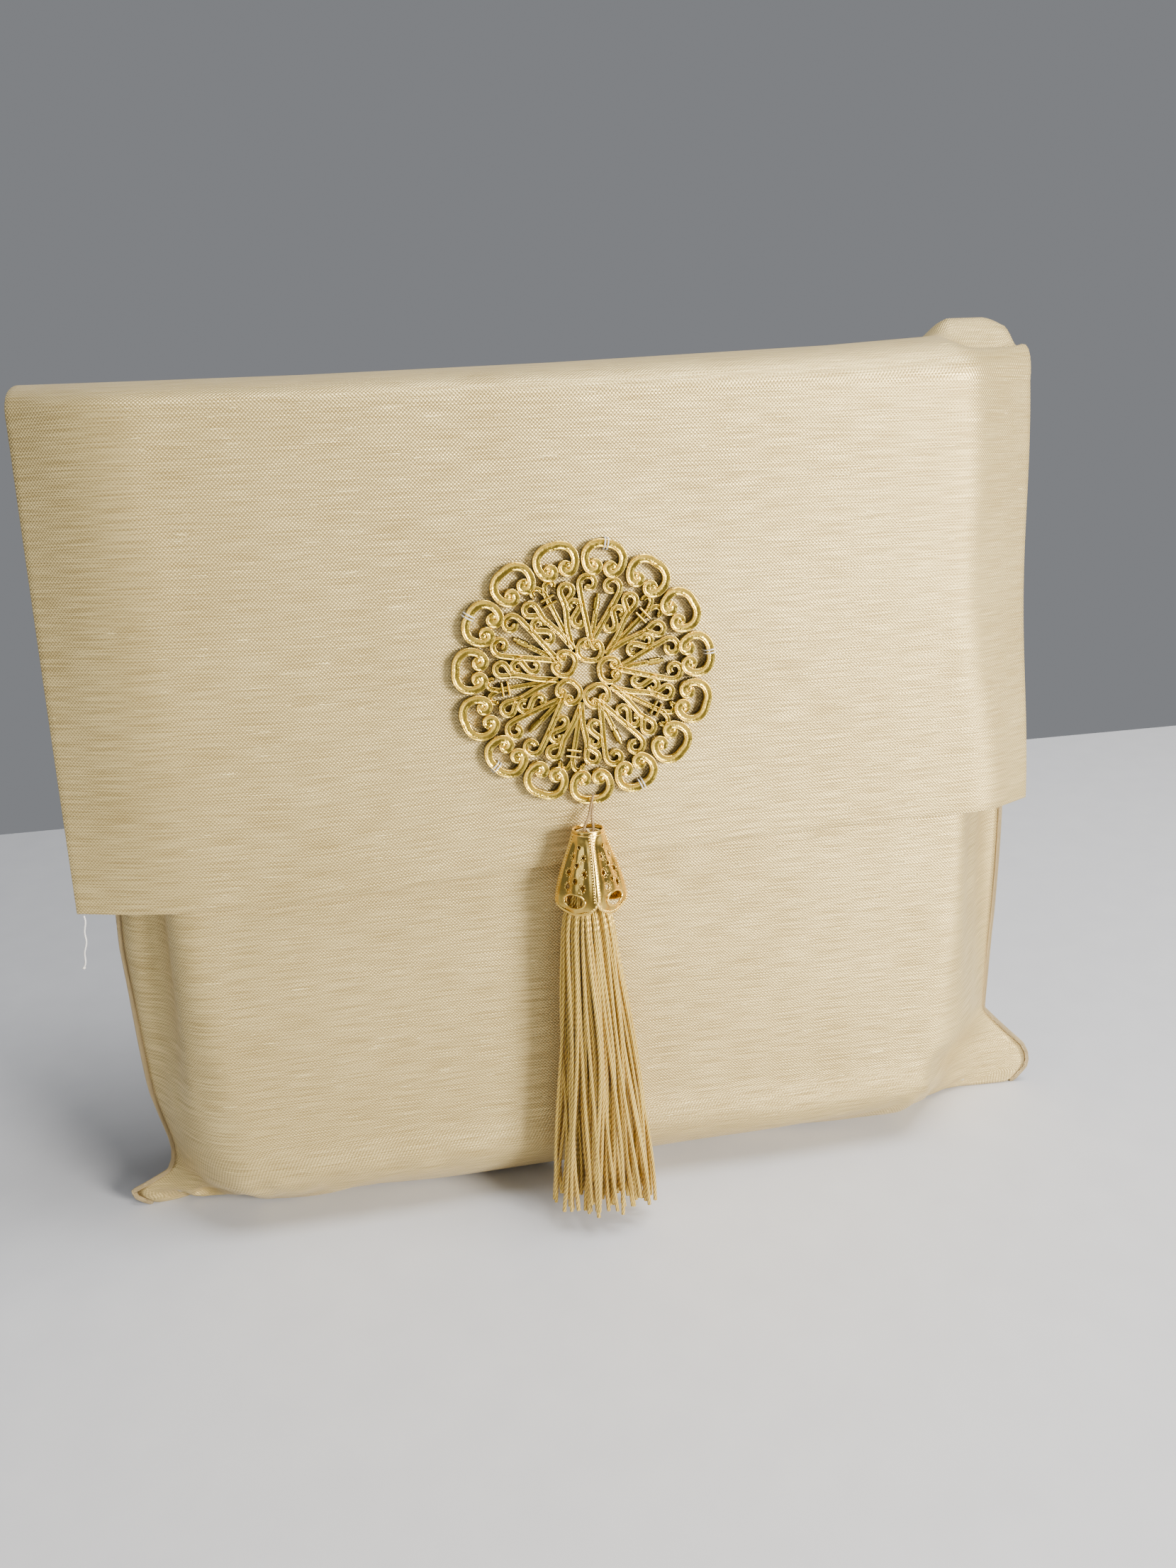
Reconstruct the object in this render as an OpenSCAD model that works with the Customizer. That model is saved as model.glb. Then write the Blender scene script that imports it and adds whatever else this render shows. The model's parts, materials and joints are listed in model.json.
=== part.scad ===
// Ring bearer pillow: a stuffed silk envelope pouch with a fold-over flap, a cast filigree
// medallion sewn on the flap, and a tassel that hangs from the medallion on a thread loop.
// Millimetres, +Z up, the flap and the medallion face -Y.

/* [Pouch] */
// Width of the pouch at its mouth, side seam to side seam
pouch_w = 209; // [170:1:250]
// Height of the mouth over the table
pouch_h = 177; // [145:1:225]
// Depth of the stuffed pouch at its fullest
belly_d = 46; // [34:1:60]
// Depth across the mouth
mouth_d = 11; // [8:0.5:16]
// Depth of the part of the base that lies on the table
base_flat_d = 18; // [10:1:30]
// Height where the rounded foot of the pouch meets the flat face
foot_h = 18; // [12:1:26]
// Thickness of the silk
silk_t = 0.45; // [0.3:0.05:0.8]
// Thickness of the lining
lining_t = 0.3; // [0.2:0.05:0.6]
// Width of the turned hem inside the mouth
hem_w = 9; // [5:0.5:15]
// Width that each side seam stands out
seam_w = 0.8; // [0.4:0.1:2]

/* [Insert] */
// Thickness of the insert's cotton cover
ticking_t = 0.4; // [0.2:0.05:0.8]
// Distance from the mouth down to the top of the insert
insert_drop = 9; // [5:1:20]

/* [Flap] */
// Width of the flap
flap_w = 210; // [160:1:250]
// Length of the flap, from the fold down the front
flap_drop = 96; // [75:1:120]
// Thickness of the interfacing between the flap's two silk layers
interfacing_t = 0.4; // [0.2:0.05:0.8]
// Length of the loose thread at the flap's corner
tail_l = 11; // [5:1:20]

/* [Medallion] */
// Outer radius of the medallion
medallion_r = 27.5; // [22:0.5:35]
// Thickness of the casting
medallion_t = 2; // [1.6:0.1:3]
// Distance from the fold down to the medallion's centre
medallion_drop = 54.5; // [46:0.5:65]
// How far right of the middle the medallion is sewn
medallion_x = 1; // [-5:0.5:5]
// Number of hearts round the rim
heart_count = 15; // [15:1:15]
// Width of a rim heart's bar
bar_w = 1.2; // [0.9:0.1:1.6]

/* [Tassel] */
// Thickness of the hanging loop's thread
loop_t = 0.6; // [0.5:0.05:0.8]
// Length of the loop, from the heart's bar to where it holds the tassel
loop_l = 8; // [7:0.5:14]
// How far right of the middle the tassel hangs
tassel_x = -1; // [-2:0.5:3]
// Angle that the tassel hangs to the left
tassel_tilt = 1.5; // [-3:0.5:3]
// Height of the filigree bead cap
cap_h = 17; // [12:0.5:22]
// Radius of the cap round the ends of its petals
cap_r = 7.25; // [6:0.25:9]
// Radius of the cap's crown
crown_r = 3.3; // [3.1:0.1:4]
// Radius of the skirt where it leaves the cap
skirt_neck_r = 5.6; // [4.5:0.1:6.2]
// Width of the skirt at its tips
skirt_tip_w = 28; // [20:1:34]
// Height of the tips over the table
tip_clear = 3.5; // [1:0.5:20]

/* [Hidden] */

ply = 0.1;                 // air between two layers of one body
free = 0.4;                // air between two bodies
roundness = 3.4;           // exponent of the pouch's rounded cross-section
side_pull = 0.1;           // how far the sides pull in for each millimetre of extra half depth
mouth_half = mouth_d / 2;
belly_half = belly_d / 2;
lean = atan2(belly_half - mouth_half, pouch_h - foot_h);
lining_in = silk_t + ply;
hem_in = lining_in + lining_t + ply;
insert_in = hem_in + silk_t + ply;
fill_in = insert_in + ticking_t + ply;
flap_t = 2 * silk_t + interfacing_t + 2 * ply;
flap_out = free + flap_t;
hinge_y = -(silk_t + free) / 2;        // halfway from the back's inner face to the flap's
fold_ri = mouth_half + (free - silk_t) / 2;
flap_start = 0.6;

// The medallion's bottom heart, and what hangs from it
heart_pitch = 360 / heart_count;
heart_phase = 180 - heart_pitch * floor(heart_count / 2);
bar_r = medallion_r - bar_w / 2;
loop_bar = 0.85;           // side of the slim bar that the loop runs round
loop_turn_r = loop_bar * 0.71 + 0.1 + loop_t / 2;
loop_bar_out = flap_out + loop_turn_r + loop_t / 2 + 0.2;
tassel_out = max(cap_r, skirt_neck_r) + 0.45;
loop_slant = asin((tassel_x - medallion_x) / loop_l);
loop_swing = asin((tassel_out - loop_bar_out) / (loop_l * cos(loop_slant)));
pivot_drop = medallion_drop + bar_r + loop_l * cos(loop_slant) * cos(loop_swing);
pivot_in_cap = 1.2;        // how far the loop's end is inside the crown
cap_drop = pivot_drop - pivot_in_cap;
leg_half = 1;              // half the distance between the loop's legs at the cap
crown_hole_r = 2.45;
cap_t = 0.55;
head_r = crown_r - cap_t - 0.05;
binding_t = 0.5;
neck_drop = cap_t + 4.2;   // from the crown down to the binding
binding_h = 2;
tip_drop = (pouch_h - tip_clear) / cos(lean);
skirt_half_d = tassel_out - 0.45;

// The bounding box is centred on the origin: the back of the belly and the front of the tassel
back_y = belly_half;
front_y = mouth_half + (tassel_out + skirt_half_d) * cos(lean) + tip_drop * sin(lean);
shift_y = (front_y - back_y) / 2;

// ---- Cross-section of the pouch ----
SEGMENTS = 20;
LEVELS = concat([for (i = [0:5]) foot_h * (1 - cos(18 * i))],
    [for (i = [1:8]) foot_h + (pouch_h - foot_h) * i / 8]);

function face_half(z) = mouth_half + (belly_half - mouth_half) * (pouch_h - z) / (pouch_h - foot_h);
function foot_cut(z) = z < foot_h ? (face_half(0) - base_flat_d / 2) * pow(1 - z / foot_h, 2.6) : 0;
function half_depth(z) = face_half(z) - foot_cut(z);
function half_width(z) = pouch_w / 2 - side_pull * (half_depth(z) - mouth_half);
function rounded(v) = sign(v) * pow(abs(v), 2 / roundness);

// A point of the surface that lies "in" millimetres inside the silk; t runs round the section
function skin_point(t, z, in) = let (zi = in + z * (pouch_h - in) / pouch_h)
    [(half_width(z) - in) * rounded(sin(t)), -(half_depth(z) - in) * rounded(cos(t)), zi];
function skin_row(z, in, t0, t1, n) = [for (i = [0:n]) skin_point(t0 + (t1 - t0) * i / n, z, in)];

function grid_faces(rows, cols, start) = [for (j = [0:rows - 2], i = [0:cols - 2], k = [0, 1])
    let (a = start + j * cols + i, b = a + cols)
    k == 0 ? [a, b + 1, a + 1] : [a, b, b + 1]];
function flipped(faces) = [for (f = faces) [f[2], f[1], f[0]]];

// Half of the pouch's wall: closed across the base when the first level is the floor
module half_shell(side, in, t, levels) {
    rows = len(levels);
    cols = SEGMENTS + 1;
    inner = rows * cols;
    last = inner - cols;
    pts = concat([for (z = levels) each skin_row(z, in, -90, 90, SEGMENTS)],
        [for (z = levels) each skin_row(z, in + t, -90, 90, SEGMENTS)]);
    floor_first = levels[0] == 0;
    rim = function (a) [for (i = [0:cols - 2], k = [0, 1])
        k == 0 ? [a + i, a + i + 1, a + inner + i + 1] : [a + i, a + inner + i + 1, a + inner + i]];
    edge = function (a) [for (j = [0:rows - 2], k = [0, 1]) let (p = a + j * cols)
        k == 0 ? [p, p + inner, p + inner + cols] : [p, p + inner + cols, p + cols]];
    base = floor_first
        ? concat([[for (i = [0:cols - 1]) i]], [[for (i = [0:cols - 1]) inner + cols - 1 - i]],
            [[0, cols - 1, inner + cols - 1, inner]])
        : rim(0);
    walls = concat(grid_faces(rows, cols, 0), flipped(grid_faces(rows, cols, inner)));
    rims = concat(flipped(rim(last)), edge(0), flipped(edge(cols - 1)), base);
    scale([1, side, 1]) polyhedron(pts, concat(walls, rims));
}

// A plump closed form inside the pouch
module plump(in, top) {
    cols = 2 * SEGMENTS;
    levels = [for (z = LEVELS) z * top / pouch_h];
    rows = len(levels);
    pts = [for (z = levels) each [for (i = [0:cols - 1]) skin_point(-90 + 180 * i / SEGMENTS, z, in)]];
    wall = [for (j = [0:rows - 2], i = [0:cols - 1], k = [0, 1])
        let (a = j * cols + i, n = j * cols + (i + 1) % cols)
        k == 0 ? [a, n + cols, n] : [a, a + cols, n + cols]];
    polyhedron(pts, concat(wall, [[for (i = [0:cols - 1]) i]],
        [[for (i = [0:cols - 1]) rows * cols - 1 - i]]));
}

module placed() translate([0, shift_y, 0]) children();

// The front face's own frame: x across, -y out of the face, z up along it, 0 at the fold
module on_face() placed() translate([0, -mouth_half, pouch_h]) rotate([-lean, 0, 0]) children();

module front_panel() color("tan") placed() half_shell(1, 0, silk_t, LEVELS);
module back_panel() color("tan") placed() half_shell(-1, 0, silk_t, LEVELS);
module front_lining() color("wheat") placed() half_shell(1, lining_in, lining_t, LEVELS);
module back_lining() color("wheat") placed() half_shell(-1, lining_in, lining_t, LEVELS);
module mouth_hem() color("burlywood") placed()
    half_shell(1, hem_in, silk_t, [pouch_h - hem_w, pouch_h - hem_w / 2, pouch_h]);

module insert_cover() color("ivory") placed() difference() {
    plump(insert_in, pouch_h - insert_drop);
    plump(insert_in + ticking_t, pouch_h - insert_drop - ticking_t);
}

module fibre_fill() color("white") placed() plump(fill_in, pouch_h - insert_drop - ticking_t - ply);

// The ridge of folded silk along a side seam
module side_seam(side) {
    ridge = 0.4;
    rows = len(LEVELS);
    pts = [for (z = LEVELS) each [for (p = [[0, -ridge], [seam_w, -ridge], [seam_w, ridge], [0, ridge]])
        [half_width(z) + p[0], p[1], z]]];
    wall = [for (j = [0:rows - 2], i = [0:3], k = [0, 1])
        let (a = j * 4 + i, n = j * 4 + (i + 1) % 4)
        k == 0 ? [a, n + 4, n] : [a, a + 4, n + 4]];
    scale([side, 1, 1])
        polyhedron(pts, concat(wall, [[0, 1, 2, 3]], [[for (i = [0:3]) rows * 4 - 1 - i]]));
}

module left_side_seam() color("peru") placed() side_seam(-1);
module right_side_seam() color("peru") placed() side_seam(1);

// ---- Flap ----
module flap_fold() color("khaki") placed() translate([0, hinge_y, pouch_h]) rotate([90, 0, 90])
    translate([0, 0, -flap_w / 2]) linear_extrude(flap_w) difference() {
        circle(fold_ri + flap_t, $fn = 48);
        circle(fold_ri, $fn = 48);
        translate([-2 * mouth_d, -2 * mouth_d]) square([4 * mouth_d, 2 * mouth_d + ply]);
    }

module flap_layer(out, t) on_face()
    translate([-flap_w / 2, -out - t, -flap_drop]) cube([flap_w, t, flap_drop - flap_start]);

module flap_lining() color("goldenrod") flap_layer(free, silk_t);
module flap_interfacing() color("white") flap_layer(free + silk_t + ply, interfacing_t);
module flap_panel() color("tan") flap_layer(flap_out - silk_t, silk_t);

// A tube swept along points; "across" is never along the path
function unit(v) = v / norm(v);
module tube(path, r, across, sides = 8, closed = false) {
    n = len(path);
    turn = 360 / sides;
    at = function (i) closed ? path[(i + n) % n] : path[max(0, min(n - 1, i))];
    pts = [for (i = [0:n - 1])
        let (t = unit(at(i + 1) - at(i - 1)), u = unit(cross(t, across)), v = cross(t, u))
        each [for (k = [0:sides - 1]) path[i] + r * (cos(turn * k) * u + sin(turn * k) * v)]];
    spans = closed ? n - 1 : n - 2;
    wall = [for (j = [0:spans], k = [0:sides - 1], m = [0, 1])
        let (a = j * sides, b = ((j + 1) % n) * sides, q = (k + 1) % sides)
        m == 0 ? [a + k, a + q, b + q] : [a + k, b + q, b + k]];
    ends = closed ? []
        : [[for (k = [0:sides - 1]) sides - 1 - k], [for (k = [0:sides - 1]) (n - 1) * sides + k]];
    polyhedron(pts, concat(wall, ends));
}

module thread_tail() color("ivory") on_face()
    translate([-flap_w / 2 + 1, -flap_out + silk_t / 2, -flap_drop - ply])
        tube([for (i = [0:8]) let (s = i / 8) [-1.6 * s * s, -0.5 * sin(140 * s), -tail_l * s]],
            0.2, [0, 1, 0], sides = 6);

// ---- Medallion, drawn flat with +Y up and extruded outwards ----
module on_medallion() on_face()
    translate([medallion_x, -flap_out, -medallion_drop]) rotate([90, 0, 0]) children();
module clockwise(angle) rotate(-angle) children();

function spiral(c, r0, r1, a0, a1, n) = [for (i = [0:n]) let (s = i / n, a = a0 + (a1 - a0) * s)
    c + (r0 + (r1 - r0) * s) * [cos(a), sin(a)]];
function sideways(p, i) = let (d = p[min(i + 1, len(p) - 1)] - p[max(i - 1, 0)]) [-d[1], d[0]] / norm(d);

module stroke(p, w) {
    n = len(p) - 1;
    polygon(concat([for (i = [0:n]) p[i] + sideways(p, i) * w / 2],
        [for (i = [n:-1:0]) p[i] - sideways(p, i) * w / 2]));
}

module mirrored() {
    children();
    mirror([1, 0]) children();
}

// A heart with a blunt tip up and two curls that end in balls; w is its bar
module heart(width, height, w, ball, turns) {
    curl = width / 4;
    c = [curl - w / 6, -height / 2 + curl + w / 2];
    path = concat([[-0.1, height / 2 - w / 2], [curl * 0.5, height / 2 - w / 2]],
        spiral(c, curl + w / 6, curl * 0.45, 42, -285, turns));
    mirrored() {
        stroke(path, w);
        translate(path[len(path) - 1]) circle(ball, $fn = 6);
    }
}

// Fan A: two arms that end in curls, with a bud between them
module curl_fan() {
    mirrored() stroke(concat([[0.1, 6.4], [-1.5, 10.4], [-3.2, 14.6]],
        spiral([-2.4, 18.6], 1.9, 0.9, 200, -100, 7)), 1.05);
    polygon([[-0.4, 7.5], [0.4, 7.5], [0.3, 13.6], [0.8, 15], [0, 16.6], [-0.8, 15], [-0.3, 13.6]]);
}

// Fan B: two arms that end in teardrop loops, and a crossed spear with two hooks at its end
module crossed_fan() {
    mirrored() {
        arm = [[-0.1, 5.9], [0.9, 10.2], [2.7, 14.6]];
        stroke(concat(arm, spiral([4.2, 17], 1.3, 1.15, 170, -90, 5), [[2.9, 15]]), 0.95);
        stroke(concat([[-0.1, 18.3]], spiral([1.7, 19.4], 1.35, 0.8, 190, 0, 5)), 0.9);
    }
    translate([-0.4, 8.5]) square([0.8, 10.2]);
    for (r = [16.1, 17.3]) translate([-1.5, r]) square([3, 0.7]);
}

// The S scroll between two fans
module s_scroll() {
    upper = spiral([0.5, 14.3], 1.35, 1.5, -20, 190, 5);
    lower = spiral([-0.3, 11], 1.5, 1.35, 60, -170, 5);
    stroke(concat(upper, lower), 0.95);
}

module filigree() {
    sector = 72;
    for (k = [0:heart_count - 1]) clockwise(heart_phase + heart_pitch * k)
        translate([0, medallion_r - 3.6]) heart(10.2, 7.2, bar_w, 0.75, 8);
    scale(medallion_r / 27.5) for (k = [0:4]) {
        clockwise(heart_phase + sector * k) {
            translate([0, 4.6]) rotate(180) heart(6.4, 5, 0.95, 0.5, 6);
            curl_fan();
        }
        clockwise(heart_phase + sector * (k + 0.5)) crossed_fan();
        clockwise(heart_phase + sector * (k + 0.25)) s_scroll();
        clockwise(heart_phase + sector * (k + 0.75)) mirror([1, 0]) s_scroll();
    }
}

// The bottom heart's tip is slimmed to a bar that the thread loop runs round
module loop_seat() {
    seat_w = 2.6;
    bar_out = loop_bar_out - flap_out;
    translate([-seat_w / 2, -bar_r - 3, -1]) difference() {
        cube([seat_w, 5.2, medallion_t + 2]);
        translate([-1, 3 - loop_bar / 2, bar_out - loop_bar / 2 + 1])
            cube([seat_w + 2, loop_bar, loop_bar]);
    }
}

module medallion() color("gold") on_medallion() difference() {
    linear_extrude(medallion_t) offset(delta = 0.02) filigree();
    loop_seat();
}

// Five stitches over the tips of every third heart, from the silk outside into the heart
module medallion_stitches() color("khaki") on_medallion()
    for (k = [0:3:heart_count - 1]) clockwise(heart_phase + heart_pitch * k) difference() {
        thread = 0.4;
        inside = medallion_r - bar_w - 0.15 - thread;
        outside = medallion_r + 0.15 + thread;
        translate([-thread / 2, inside, 0]) cube([thread, outside - inside, medallion_t + 0.1 + thread]);
        translate([-1, inside + thread, -1]) cube([2, outside - inside - 2 * thread, medallion_t + 1.1]);
    }

// ---- Loop and tassel ----
// From the heart's bar, x across, z towards the tassel's pivot; the loop turns a quarter on its way
function loop_half(i, n) = let (s = i / n, turn = 90 * s, g = loop_turn_r + (leg_half - loop_turn_r) * s,
    z = s * (loop_l - leg_half)) [g * sin(turn), g * cos(turn), z];
function loop_path() = concat(
    [for (i = [1:5]) let (a = 180 - 30 * i) loop_turn_r * [0, cos(a), -sin(a)]],
    [for (i = [0:7]) loop_half(i, 7)],
    [for (i = [1:5]) let (a = 30 * i) [leg_half * cos(a), 0, loop_l - leg_half + leg_half * sin(a)]],
    [for (i = [7:-1:0]) let (p = loop_half(i, 7)) [-p[0], -p[1], p[2]]]);

module at_loop_bar() on_face() translate([medallion_x, -loop_bar_out, -medallion_drop - bar_r])
    rotate([180 - loop_swing, 0, 0]) rotate([0, loop_slant, 0]) children();

module hanging_loop() color("saddlebrown") at_loop_bar()
    tube(loop_path(), loop_t / 2, [1, 1, 0], closed = true);

// The tassel's own frame: 0 at the crown of the cap, z down along the tassel
module on_tassel() on_face() translate([tassel_x, -tassel_out, -pivot_drop])
    rotate([180, tassel_tilt, 0]) translate([0, 0, -pivot_in_cap]) children();

function cap_radius(z) = crown_r + (cap_r - crown_r) * pow(z / cap_h, 1.35);
module bead_cap() color("gold") on_tassel() difference() {
    rings = [for (i = [0:8]) cap_h * i / 8];
    rotate_extrude() polygon(concat([[crown_hole_r, 0], [crown_r - 0.3, 0]],
        [for (z = rings) if (z > 0) [cap_radius(z), z]],
        [for (i = [8:-1:1]) [cap_radius(rings[i]) - cap_t, rings[i]]],
        [[crown_r - cap_t, cap_t], [crown_hole_r, cap_t]]));
    for (k = [0:3]) rotate(45 + 90 * k) {
        translate([0, 0, cap_h + 0.1]) rotate([0, -90, 180]) linear_extrude(cap_r + 1)
            polygon([[0, -3.2], [cap_h * 0.55, 0], [0, 3.2]]);
        rotate(45) translate([0, 0, cap_h * 0.68]) rotate([0, 90, 0])
            cylinder(h = cap_r + 1, r = 1, $fn = 24);
    }
}

module tassel_core() color("darkkhaki") on_tassel() {
    pocket_r = 2.25;
    pocket_floor = 2.2;
    eye_x = 0.5;
    eye_y = 2.4;
    eye_top = 0.25;         // kept low and thin, so that the loop's legs clear it as the tassel sways
    eye_r = 0.72;
    difference() {
        translate([0, 0, cap_t]) cylinder(h = neck_drop + binding_h - cap_t, r = head_r, $fn = 48);
        translate([0, 0, cap_t - 1]) cylinder(h = pocket_floor - cap_t + 1, r = pocket_r, $fn = 48);
        translate([0, 0, neck_drop]) difference() {
            cylinder(h = binding_h + 1, r = head_r + 1, $fn = 48);
            translate([0, 0, -1]) cylinder(h = binding_h + 3, r = head_r - binding_t, $fn = 48);
        }
    }
    difference() {
        translate([-eye_x / 2, -eye_y / 2, eye_top]) cube([eye_x, eye_y, pocket_floor]);
        translate([-1, 0, pivot_in_cap]) rotate([0, 90, 0]) cylinder(h = 2, r = eye_r, $fn = 24);
    }
}

module tassel_binding() color("ivory") on_tassel() translate([0, 0, neck_drop + ply]) difference() {
    cylinder(h = binding_h - ply, r = head_r, $fn = 48);
    translate([0, 0, -1]) cylinder(h = binding_h + 2, r = head_r - binding_t + ply, $fn = 48);
}

// The skirt's oval rings: [distance down from the crown, half width, half depth]
module tassel_skirt() color("khaki") on_tassel() {
    top = neck_drop + binding_h;
    tip = tip_drop - cap_drop;
    sides = 24;
    oval = [[top, head_r, head_r], [cap_h * 0.7, skirt_neck_r - 1.4, skirt_neck_r - 1.4],
        [cap_h, skirt_neck_r - 0.1, skirt_neck_r - 0.1], [cap_h + 12, skirt_neck_r + 2, skirt_neck_r + 0.4],
        [tip * 0.55, skirt_tip_w * 0.34, skirt_half_d * 0.9],
        [tip * 0.85, skirt_tip_w * 0.45, skirt_half_d], [tip, skirt_tip_w / 2, skirt_half_d]];
    rows = len(oval);
    pts = [for (o = oval) each [for (k = [0:sides - 1])
        [o[1] * cos(360 * k / sides), o[2] * sin(360 * k / sides), o[0]]]];
    wall = [for (j = [0:rows - 2], i = [0:sides - 1], k = [0, 1])
        let (a = j * sides + i, n = j * sides + (i + 1) % sides)
        k == 0 ? [a, n + sides, n] : [a, a + sides, n + sides]];
    polyhedron(pts, concat(wall, [[for (i = [0:sides - 1]) i]],
        [[for (i = [0:sides - 1]) rows * sides - 1 - i]]));
}

front_panel();
back_panel();
front_lining();
back_lining();
left_side_seam();
right_side_seam();
mouth_hem();
insert_cover();
fibre_fill();
flap_fold();
flap_panel();
flap_interfacing();
flap_lining();
thread_tail();
medallion();
medallion_stitches();
hanging_loop();
bead_cap();
tassel_core();
tassel_binding();
tassel_skirt();
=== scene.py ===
"""Looks of the ring bearer pillow: a stuffed silk envelope pouch, its fold-over flap, the cast filigree
medallion sewn on the flap, and the tassel that hangs from it. Metres; +Z up; the flap faces -Y."""

import json
import math

import bpy
import numpy as np
from mathutils import Matrix, Vector


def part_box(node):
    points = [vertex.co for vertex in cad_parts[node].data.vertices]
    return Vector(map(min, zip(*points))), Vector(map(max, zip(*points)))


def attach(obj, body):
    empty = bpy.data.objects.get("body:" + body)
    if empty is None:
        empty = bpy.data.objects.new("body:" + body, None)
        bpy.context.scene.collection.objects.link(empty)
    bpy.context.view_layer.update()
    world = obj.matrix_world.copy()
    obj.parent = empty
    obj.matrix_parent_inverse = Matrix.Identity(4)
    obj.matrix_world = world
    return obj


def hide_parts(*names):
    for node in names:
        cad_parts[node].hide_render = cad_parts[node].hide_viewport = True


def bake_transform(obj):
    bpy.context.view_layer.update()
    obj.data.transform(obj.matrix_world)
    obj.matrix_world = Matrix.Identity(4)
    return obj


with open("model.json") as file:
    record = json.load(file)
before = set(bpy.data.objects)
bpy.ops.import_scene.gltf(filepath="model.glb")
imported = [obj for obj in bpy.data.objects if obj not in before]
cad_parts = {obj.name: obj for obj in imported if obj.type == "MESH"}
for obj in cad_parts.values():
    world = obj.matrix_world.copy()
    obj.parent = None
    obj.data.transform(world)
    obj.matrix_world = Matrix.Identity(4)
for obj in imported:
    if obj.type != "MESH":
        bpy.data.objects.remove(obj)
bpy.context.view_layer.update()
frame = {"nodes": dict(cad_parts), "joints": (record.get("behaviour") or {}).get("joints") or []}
MM = 0.001
MAP = "map"  # every piece's UV map, along and across its own surface

# ---- Places, from the frame ----
JOINTS = {j["name"]: j for j in frame["joints"]}
ACROSS = np.array((1.0, 0.0, 0.0))
OUT = np.array(JOINTS["tassel_sway"]["axis"])  # square out of the pouch's leaning front
DOWN = np.cross(ACROSS, OUT)
AXES = np.array((ACROSS, OUT, DOWN))


def vertices(node):
    """The places of a CAD node's vertices, one row each."""
    mesh = frame["nodes"][node].data
    found = np.empty(len(mesh.vertices) * 3)
    mesh.vertices.foreach_get("co", found)
    return found.reshape(-1, 3)


def spans(node):
    """Lowest and highest of a CAD node, measured across, out of and down the pouch's front."""
    found = vertices(node) @ AXES.T
    return found.min(0), found.max(0)


def to_world(points):
    """Points given across, out of and down the pouch's front, in the row frame."""
    return np.asarray(points, float) @ AXES


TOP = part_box("front_panel")[1].z
MID_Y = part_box("front_panel")[1].y
BACK_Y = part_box("back_panel")[1].y
FACE = spans("front_panel")[1][1]
FACE_TOP = (TOP - FACE * OUT[2]) / DOWN[2]  # where the front reaches the mouth, going down the front
MOUTH_HALF = MID_Y - (FACE - TOP * OUT[2]) / OUT[1]
BASE_HALF = 9 * MM
FOOT_H = 18 * MM


def face_half(z):
    """Half of the pouch's depth at a height, by the flat front."""
    return MID_Y - (FACE - z * OUT[2]) / OUT[1]


# ---- Meshes ----
class Build:
    """Collects grids of quads with a UV for each corner, and makes one mesh piece of them."""

    def __init__(self):
        self.points, self.faces, self.uvs = [], [], []

    def grid(self, points, uv, wrap=False, flip=False):
        """points is rows x columns x 3; uv has one column more where the grid wraps round."""
        rows, cols = points.shape[:2]
        first = sum(len(p) for p in self.points)
        self.points.append(points.reshape(-1, 3))
        for j in range(rows - 1):
            for i in range(cols if wrap else cols - 1):
                corners = [(j, i), (j, i + 1), (j + 1, i + 1), (j + 1, i)]
                if flip:
                    corners.reverse()
                self.faces.append([first + r * cols + c % cols for r, c in corners])
                self.uvs += [uv[r, c] for r, c in corners]

    def fan(self, ring, uv):
        """Closes a ring of points with one face."""
        first = sum(len(p) for p in self.points)
        self.points.append(np.asarray(ring))
        self.faces.append([first + i for i in range(len(ring))])
        self.uvs += [uv] * len(ring)

    def piece(self, name, material, body, slot):
        mesh = bpy.data.meshes.new(name)
        mesh.from_pydata(np.concatenate(self.points).tolist(), [], self.faces)
        layer = mesh.uv_layers.new(name=MAP)
        layer.data.foreach_set("uv", np.array(self.uvs, np.float32).ravel())
        mesh.polygons.foreach_set("use_smooth", [True] * len(mesh.polygons))
        mesh.materials.append(material)
        made = bpy.data.objects.new(name, mesh)
        bpy.context.scene.collection.objects.link(made)
        if body:
            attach(made, body)
        return made


def lengths(path):
    """How far along the path each of its points is."""
    steps = np.linalg.norm(np.diff(path, axis=0), axis=1)
    return np.concatenate(([0], np.cumsum(steps)))


def unit(v):
    return v / np.maximum(np.linalg.norm(v, axis=-1, keepdims=True), 1e-12)


def sweep(build, path, profile, up, closed=False):
    """Sweeps profile, points (sideways, upwards), along path. up is one direction, or one for each point."""
    path = np.asarray(path, float)
    before, after = np.roll(path, 1, 0), np.roll(path, -1, 0)
    if not closed:
        before[0], after[-1] = path[0], path[-1]
    along = unit(after - before)
    up = np.broadcast_to(np.asarray(up, float), path.shape)
    side = unit(np.cross(along, up))
    up = np.cross(side, along)
    profile = np.asarray(profile, float)
    points = path[:, None] + side[:, None] * profile[:, :1] + up[:, None] * profile[:, 1:2]
    u = lengths(np.vstack((path, path[:1])))
    round_it = np.vstack((profile, profile[:1]))
    v = lengths(round_it) / lengths(round_it)[-1]
    uv = np.stack(np.meshgrid(u, v, indexing="ij"), -1)
    if closed:
        points = np.concatenate((points, points[:1]))
    build.grid(points, uv, wrap=True, flip=True)
    if not closed:
        build.fan(points[0], (0, 0))
        build.fan(points[-1][::-1], (u[len(path) - 1], 0))


def circle(radius, sides, lobe=0.0):
    angles = np.linspace(0, 2 * math.pi, sides, endpoint=False)
    r = radius * (1 + lobe * np.cos(2 * angles))
    return np.stack((r * np.cos(angles), r * np.sin(angles)), -1)


def wave(x, *terms):
    """A sum of sines: each term is (size, length of one wave, shift)."""
    return sum(a * np.sin(2 * math.pi * (x / w + s)) for a, w, s in terms)


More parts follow.
